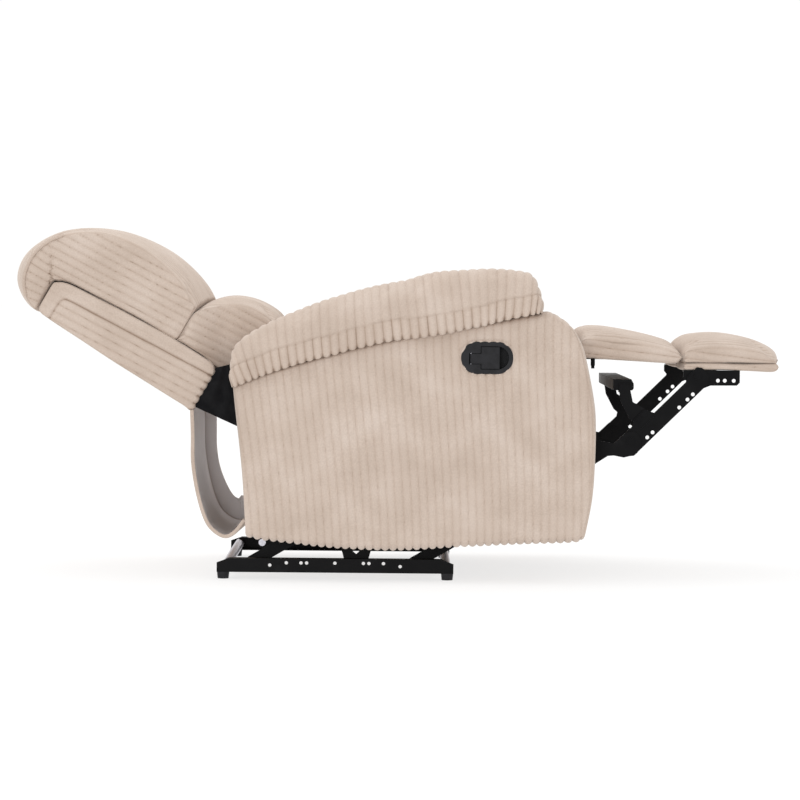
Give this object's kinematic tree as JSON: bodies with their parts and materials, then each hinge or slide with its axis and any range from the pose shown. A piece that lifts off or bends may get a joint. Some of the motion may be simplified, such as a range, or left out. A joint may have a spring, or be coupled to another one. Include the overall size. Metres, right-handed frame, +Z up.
{
  "type": "recliner armchair",
  "caption": "Reclining armchair with padded arms, a two-part padded back and a fold-out footrest on a bar linkage, worked by a pull handle in one side.",
  "frame": {"origin": "on the floor, under the middle of the bounding box, with the back fully reclined and the footrest out", "axes": "+X towards the footrest, +Y towards the sitter's left, +Z up"},
  "size_m": [1.651, 0.79, 0.733],
  "materials": {
    "fabric_beige": "wide-rib corduroy",
    "lining": "plain woven lining",
    "black_cloth": "plain black cloth",
    "black_steel": "semi-gloss black paint",
    "zinc": "zinc plated",
    "spring_steel": "oiled",
    "dark_plastic": "fine grain",
    "board": "bare plywood and softwood"
  },
  "bodies": {
    "base": {"base_rail_right": "black_steel", "base_rail_left": "black_steel", "base_tube_front": "zinc", "base_tube_rear": "zinc", "base_feet": "dark_plastic", "base_pivots": "zinc", "base_stops": "black_steel"},
    "rear_swing": {"rear_swing_links": "black_steel"},
    "front_swing": {"front_swing_links": "black_steel"},
    "carriage": {"side_plate_right": "black_steel", "side_plate_left": "black_steel", "carriage_pivots": "zinc", "seat_rails_side": "board", "seat_rail_front": "board", "seat_rail_rear": "board", "seat_bolts": "zinc", "seat_springs": "spring_steel", "seat_cushion": "fabric_beige", "arm_spacers": "black_steel", "arm_frame_right": "board", "arm_frame_left": "board", "side_panel_right": "fabric_beige", "side_panel_left": "fabric_beige", "arm_pad_right": "fabric_beige", "arm_pad_left": "fabric_beige", "handle_cup": "dark_plastic", "handle_pin": "zinc", "side_gussets": "black_cloth", "rear_flap": "fabric_beige", "rear_flap_lining": "lining", "pad_hinge_arms": "black_steel"},
    "lever": {"handle_lever": "dark_plastic"},
    "back": {"back_frame": "board", "back_shell": "fabric_beige", "head_pillow": "fabric_beige", "lumbar_pillow": "fabric_beige", "back_bracket_right": "black_steel", "back_bracket_left": "black_steel", "back_bolts": "zinc"},
    "footrest": {"mid_board": "board", "mid_pad": "fabric_beige", "foot_board": "board", "foot_pad": "fabric_beige", "board_ties": "black_steel", "foot_bracket_right": "black_steel", "foot_bracket_left": "black_steel", "foot_pivots": "zinc", "pad_hinge_leaves": "black_steel", "pad_studs": "black_steel"},
    "cranks": {"bell_crank_right": "black_steel", "bell_crank_left": "black_steel", "drive_tube": "black_steel", "knee_pivots": "zinc"},
    "lift": {"lift_link_right": "black_steel", "lift_link_left": "black_steel", "support_batten": "black_steel", "batten_bracket_right": "black_steel", "batten_bracket_left": "black_steel", "batten_rivets": "zinc"}
  },
  "joints": [
    {"name": "recline", "type": "hinge", "parent": "base", "child": "rear_swing", "pos_m": [-0.298, 0, 0.033], "axis": [0, -1, 0], "range_deg": [0, 40]},
    {"name": "front_swing", "type": "hinge", "parent": "base", "child": "front_swing", "pos_m": [0.041, 0, 0.033], "axis": [0, -1, 0], "range_deg": [0, 40]},
    {"name": "carriage_level", "type": "hinge", "parent": "rear_swing", "child": "carriage", "pos_m": [-0.203, 0, 0.088], "axis": [0, 1, 0], "range_deg": [0, 40]},
    {"name": "back_fold", "type": "hinge", "parent": "carriage", "child": "back", "pos_m": [-0.366, 0, 0.392], "axis": [0, 1, 0], "range_deg": [0, 40]},
    {"name": "footrest_fold", "type": "hinge", "parent": "carriage", "child": "footrest", "pos_m": [0.404, 0, 0.474], "axis": [0, 1, 0], "range_deg": [0, 90]},
    {"name": "crank_turn", "type": "hinge", "parent": "carriage", "child": "cranks", "pos_m": [0.2654, 0, 0.3371], "axis": [0, 1, 0], "range_deg": [0, 90]},
    {"name": "link_turn", "type": "hinge", "parent": "cranks", "child": "lift", "pos_m": [0.4916, 0, 0.2923], "axis": [0, -1, 0], "range_deg": [0, 90]},
    {"name": "handle_pull", "type": "hinge", "parent": "carriage", "child": "lever", "pos_m": [0.1535, -0.3695, 0.4645], "axis": [0, 0, -1], "range_deg": [0, 25], "stiffness_Nm_per_rad": 0.5, "springref_deg": -17.19}
  ],
  "couplings": [
    {"joint": "front_swing", "follows": "recline", "ratio": 1},
    {"joint": "carriage_level", "follows": "recline", "ratio": 1},
    {"joint": "back_fold", "follows": "recline", "ratio": 1},
    {"joint": "crank_turn", "follows": "footrest_fold", "ratio": 1},
    {"joint": "link_turn", "follows": "footrest_fold", "ratio": 1}
  ]
}
